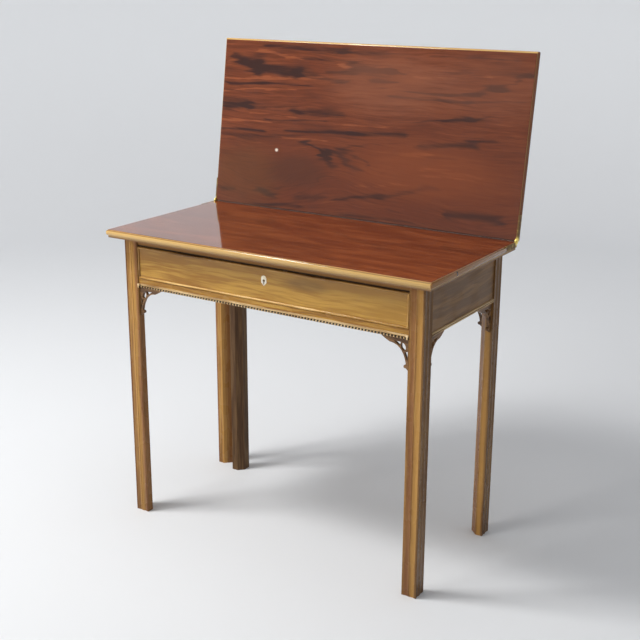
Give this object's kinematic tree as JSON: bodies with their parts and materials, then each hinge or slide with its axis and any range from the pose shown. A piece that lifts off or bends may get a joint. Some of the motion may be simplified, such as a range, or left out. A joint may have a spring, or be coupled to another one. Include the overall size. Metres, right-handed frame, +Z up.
{
  "type": "folding card table",
  "caption": "Wooden folding card table with a hinged upper leaf, moulded square legs, pierced corner brackets, a beaded drawer and a gate leg that swings out behind.",
  "frame": {"origin": "on the floor under the middle of the bounding box, with the flap up and leaning back as pictured", "axes": "+X to the right of someone facing the drawer, +Y to the back, +Z up"},
  "size_m": [0.862, 0.5004, 1.1459],
  "materials": {
    "top_wood": "polished, dark red-brown",
    "flap_wood": "polished, deep red-brown with a crotch figure",
    "leg_wood": "waxed, faded golden brown",
    "rail_wood": "waxed, faded grey-brown",
    "gate_wood": "plain, dry, dark with age",
    "drawer_wood": "waxed, faded golden brown",
    "bead_wood": "waxed, pale golden brown",
    "moulding_wood": "waxed, pale and rubbed",
    "bracket_wood": "waxed, dark olive-brown",
    "lining_wood": "unfinished oak, darkened",
    "hinge_brass": "rubbed bright",
    "iron": "dull, darkened",
    "bone": "smooth, yellowed"
  },
  "bodies": {
    "frame": {"table_top": "top_wood", "front_left_leg": "leg_wood", "front_right_leg": "leg_wood", "back_right_leg": "leg_wood", "inner_back_leg": "leg_wood", "left_side_rail": "rail_wood", "right_side_rail": "rail_wood", "drawer_rail": "rail_wood", "top_rail": "rail_wood", "inner_back_rail": "gate_wood", "gate_fixed_rail": "gate_wood", "gadroon_moulding": "moulding_wood", "left_side_moulding": "moulding_wood", "right_side_moulding": "moulding_wood", "bracket_front_left": "bracket_wood", "bracket_front_right": "bracket_wood", "bracket_left_front": "bracket_wood", "bracket_left_back": "bracket_wood", "bracket_right_front": "bracket_wood", "bracket_right_back": "bracket_wood", "bracket_back_right": "bracket_wood", "left_drawer_runner": "lining_wood", "right_drawer_runner": "lining_wood", "left_kicker": "lining_wood", "right_kicker": "lining_wood", "left_drawer_guide": "lining_wood", "right_drawer_guide": "lining_wood", "drawer_stops": "lining_wood", "glue_blocks": "lining_wood", "hinge_leaf_top_left": "hinge_brass", "hinge_leaf_top_right": "hinge_brass", "hinge_rivet_left": "hinge_brass", "hinge_rivet_right": "hinge_brass", "hinge_screws_top": "hinge_brass", "gate_pin": "iron", "top_screws": "iron"},
    "flap": {"flap": "flap_wood", "hinge_leaf_flap_left": "hinge_brass", "hinge_leaf_flap_right": "hinge_brass", "hinge_screws_flap": "hinge_brass"},
    "gate": {"fly_rail": "gate_wood", "fly_leg": "leg_wood", "bracket_fly": "bracket_wood"},
    "drawer": {"drawer_front": "drawer_wood", "drawer_left_side": "lining_wood", "drawer_right_side": "lining_wood", "drawer_back": "lining_wood", "drawer_bottom": "lining_wood", "cockbead_top": "bead_wood", "cockbead_bottom": "bead_wood", "cockbead_left": "bead_wood", "cockbead_right": "bead_wood", "escutcheon": "bone", "lock_case": "hinge_brass", "lock_screws": "hinge_brass"},
    "lock_bolt": {"lock_bolt": "iron"}
  },
  "joints": [
    {"name": "flap_hinge", "type": "hinge", "parent": "frame", "child": "flap", "pos_m": [0, 0.17102, 0.7302], "axis": [-1, 0, 0], "range_deg": [-98.3, 81.7]},
    {"name": "gate_hinge", "type": "hinge", "parent": "frame", "child": "gate", "pos_m": [-0.05, 0.15057, 0.6515], "axis": [0, 0, -1], "range_deg": [0, 90]},
    {"name": "drawer_slide", "type": "slide", "parent": "frame", "child": "drawer", "axis": [0, -1, 0], "range_m": [0, 0.24]},
    {"name": "bolt_slide", "type": "slide", "parent": "drawer", "child": "lock_bolt", "axis": [0, 0, 1], "range_m": [0, 0.007]}
  ]
}
